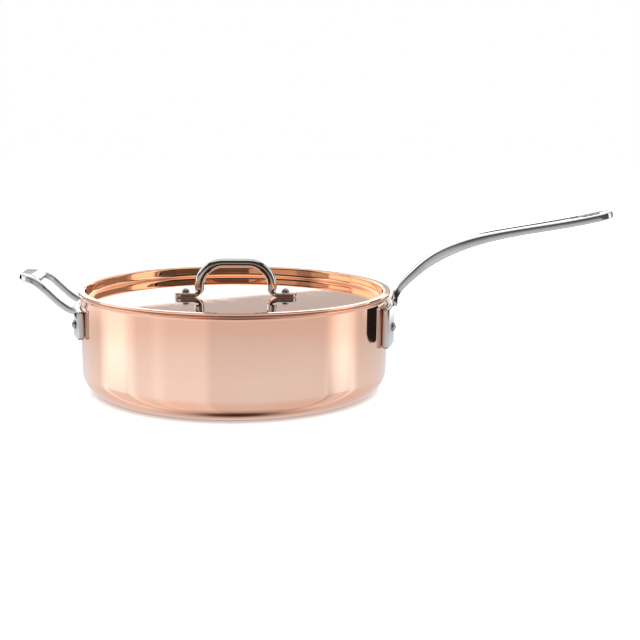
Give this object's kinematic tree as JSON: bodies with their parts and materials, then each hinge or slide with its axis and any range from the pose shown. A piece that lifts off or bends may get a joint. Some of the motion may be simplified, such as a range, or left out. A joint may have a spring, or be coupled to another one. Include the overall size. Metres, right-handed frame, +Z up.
{
  "type": "lidded saute pan",
  "caption": "Round copper saute pan with steel lining, long riveted handle, opposite loop handle and a sunk copper lid with an arched steel handle.",
  "frame": {"origin": "centre of the flat underside of the pan's base, on the pan's vertical axis", "axes": "+Z up out of the pan along its axis, +X towards the tip of the long handle, -X towards the loop handle"},
  "size_m": [0.5571, 0.291, 0.1688],
  "materials": {
    "polished_copper": "polished copper",
    "brushed_steel": "satin stainless steel",
    "polished_steel": "mirror-polished cast stainless steel",
    "rivet_steel": "polished stainless steel"
  },
  "bodies": {
    "pan": {"pan_copper_shell": "polished_copper", "pan_steel_lining": "brushed_steel", "long_handle": "polished_steel", "helper_handle": "polished_steel", "long_handle_rivet_near": "rivet_steel", "long_handle_rivet_far": "rivet_steel", "helper_handle_rivet_near": "rivet_steel", "helper_handle_rivet_far": "rivet_steel"},
    "lid": {"lid_copper_shell": "polished_copper", "lid_steel_lining": "brushed_steel", "lid_handle": "polished_steel", "lid_handle_rivet_left": "rivet_steel", "lid_handle_rivet_right": "rivet_steel"}
  },
  "joints": [
    {"name": "lid_lift", "type": "slide", "parent": "pan", "child": "lid", "axis": [0, 0, 1], "range_m": [0, 0.12]}
  ]
}
